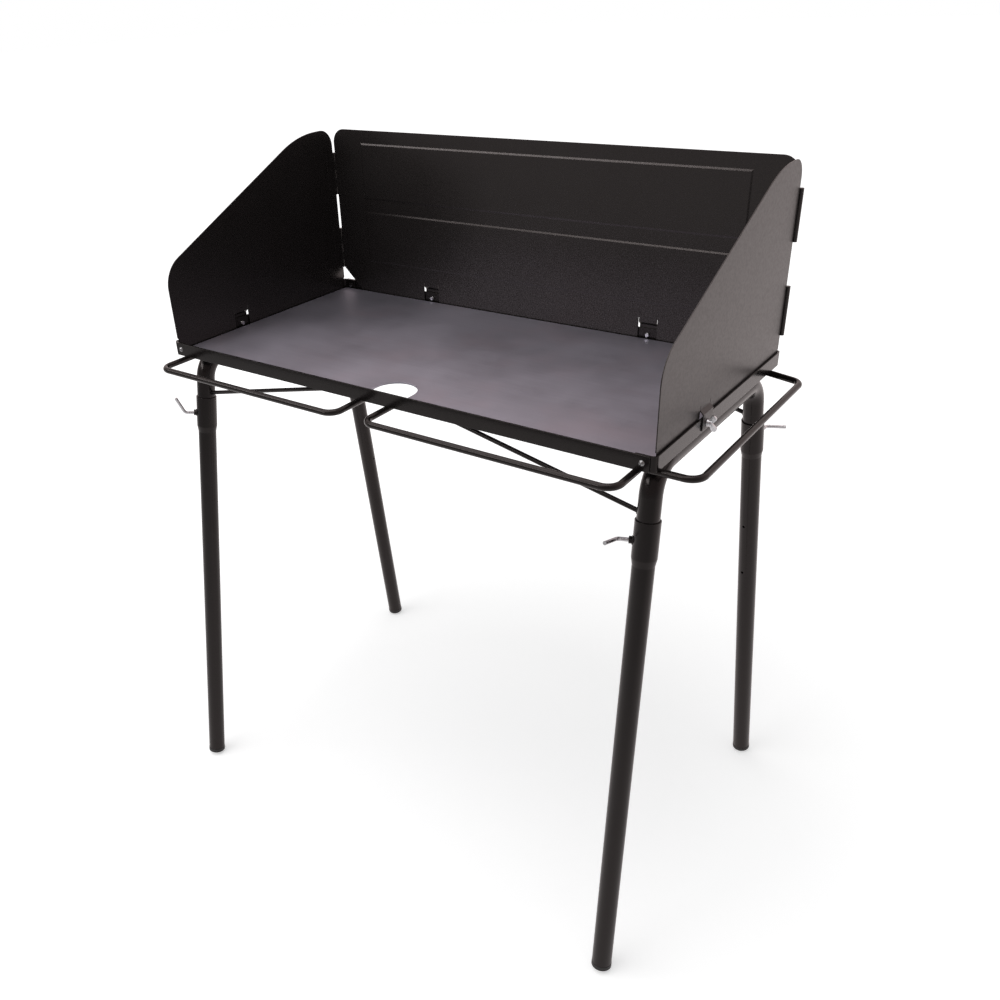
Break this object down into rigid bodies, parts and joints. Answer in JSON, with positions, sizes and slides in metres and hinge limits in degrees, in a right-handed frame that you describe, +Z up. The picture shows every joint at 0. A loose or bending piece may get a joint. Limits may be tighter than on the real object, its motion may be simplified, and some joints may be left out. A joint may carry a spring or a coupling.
{
  "type": "outdoor cook table with windscreen",
  "caption": "Waist-high steel cook table: lift-out plate in an angle frame, three-sided hinged windscreen on wing screws, utensil rails, and splayed plug-in legs with clamp screws.",
  "frame": {"origin": "on the floor below the middle of the frame", "axes": "+X to the table's right as the cook stands at the open front, +Y to the back panel, +Z up"},
  "size_m": [0.9994, 0.6492, 1.179],
  "materials": {
    "frame_paint": "satin black powder coat",
    "screen_paint": "satin black powder coat",
    "plate_steel": "smooth dark grey, low sheen",
    "zinc_plate": "bright zinc",
    "cap_plastic": "matte black"
  },
  "bodies": {
    "frame": {"rail_front": "frame_paint", "rail_back": "frame_paint", "rail_left": "frame_paint", "rail_right": "frame_paint", "corner_rivets": "zinc_plate", "leg_frame_left": "frame_paint", "leg_frame_right": "frame_paint", "brace_front_left": "frame_paint", "brace_front_right": "frame_paint", "brace_rear_left": "frame_paint", "brace_rear_right": "frame_paint", "utensil_rail_front_left": "frame_paint", "utensil_rail_front_right": "frame_paint", "utensil_rail_right": "frame_paint"},
    "windscreen": {"back_panel": "screen_paint", "left_panel": "screen_paint", "right_panel": "screen_paint", "hinge_leaves_back": "screen_paint", "hinge_leaves_left": "screen_paint", "hinge_leaves_right": "screen_paint", "hinge_pins": "screen_paint"},
    "plate": {"cook_plate": "plate_steel"},
    "wing_left": {"wing_screw_left": "zinc_plate"},
    "wing_right": {"wing_screw_right": "zinc_plate"},
    "wing_back_left": {"wing_screw_back_left": "zinc_plate"},
    "wing_back_right": {"wing_screw_back_right": "zinc_plate"},
    "leg_front_left": {"lower_leg_front_left": "frame_paint", "weld_nut_front_left": "frame_paint", "foot_cap_front_left": "cap_plastic"},
    "leg_front_right": {"lower_leg_front_right": "frame_paint", "weld_nut_front_right": "frame_paint", "foot_cap_front_right": "cap_plastic"},
    "leg_rear_left": {"lower_leg_rear_left": "frame_paint", "weld_nut_rear_left": "frame_paint", "foot_cap_rear_left": "cap_plastic"},
    "leg_rear_right": {"lower_leg_rear_right": "frame_paint", "weld_nut_rear_right": "frame_paint", "foot_cap_rear_right": "cap_plastic"},
    "clamp_front_left": {"clamp_screw_front_left": "zinc_plate"},
    "clamp_front_right": {"clamp_screw_front_right": "zinc_plate"},
    "clamp_rear_left": {"clamp_screw_rear_left": "zinc_plate"},
    "clamp_rear_right": {"clamp_screw_rear_right": "zinc_plate"}
  },
  "joints": [
    {"name": "windscreen_lift", "type": "slide", "parent": "frame", "child": "windscreen", "axis": [0, 0, 1], "range_m": [0, 0.3]},
    {"name": "plate_lift", "type": "slide", "parent": "frame", "child": "plate", "axis": [0, 0, 1], "range_m": [0, 0.15]},
    {"name": "wing_left_turn", "type": "hinge", "parent": "frame", "child": "wing_left", "pos_m": [-0.455, -0.068, 0.879], "axis": [-1, 0, 0], "range_deg": [0, 450]},
    {"name": "wing_right_turn", "type": "hinge", "parent": "frame", "child": "wing_right", "pos_m": [0.455, -0.068, 0.879], "axis": [1, 0, 0], "range_deg": [0, 450]},
    {"name": "wing_back_left_turn", "type": "hinge", "parent": "frame", "child": "wing_back_left", "pos_m": [-0.228, 0.2285, 0.879], "axis": [0, 1, 0], "range_deg": [0, 450]},
    {"name": "wing_back_right_turn", "type": "hinge", "parent": "frame", "child": "wing_back_right", "pos_m": [0.228, 0.2285, 0.879], "axis": [0, 1, 0], "range_deg": [0, 450]},
    {"name": "leg_front_left_slide", "type": "slide", "parent": "frame", "child": "leg_front_left", "axis": [-0.0328, -0.1478, -0.9885], "range_m": [0, 0.07]},
    {"name": "leg_front_right_slide", "type": "slide", "parent": "frame", "child": "leg_front_right", "axis": [0.0328, -0.1478, -0.9885], "range_m": [0, 0.07]},
    {"name": "leg_rear_left_slide", "type": "slide", "parent": "frame", "child": "leg_rear_left", "axis": [-0.0328, 0.1478, -0.9885], "range_m": [0, 0.07]},
    {"name": "leg_rear_right_slide", "type": "slide", "parent": "frame", "child": "leg_rear_right", "axis": [0.0328, 0.1478, -0.9885], "range_m": [0, 0.07]},
    {"name": "clamp_front_left_turn", "type": "hinge", "parent": "leg_front_left", "child": "clamp_front_left", "pos_m": [-0.45557, -0.2201, 0.75353], "axis": [-0.6387, -0.7576, 0.1345], "range_deg": [0, 540]},
    {"name": "clamp_front_right_turn", "type": "hinge", "parent": "leg_front_right", "child": "clamp_front_right", "pos_m": [0.40896, -0.20944, 0.75039], "axis": [-0.915, -0.4023, 0.0298], "range_deg": [0, 540]},
    {"name": "clamp_rear_left_turn", "type": "hinge", "parent": "leg_rear_left", "child": "clamp_rear_left", "pos_m": [-0.46596, 0.19222, 0.74971], "axis": [-0.9851, -0.1717, 0.007], "range_deg": [0, 540]},
    {"name": "clamp_rear_right_turn", "type": "hinge", "parent": "leg_rear_right", "child": "clamp_rear_right", "pos_m": [0.44352, 0.22616, 0.75404], "axis": [0.237, 0.9596, 0.1514], "range_deg": [0, 540]}
  ]
}
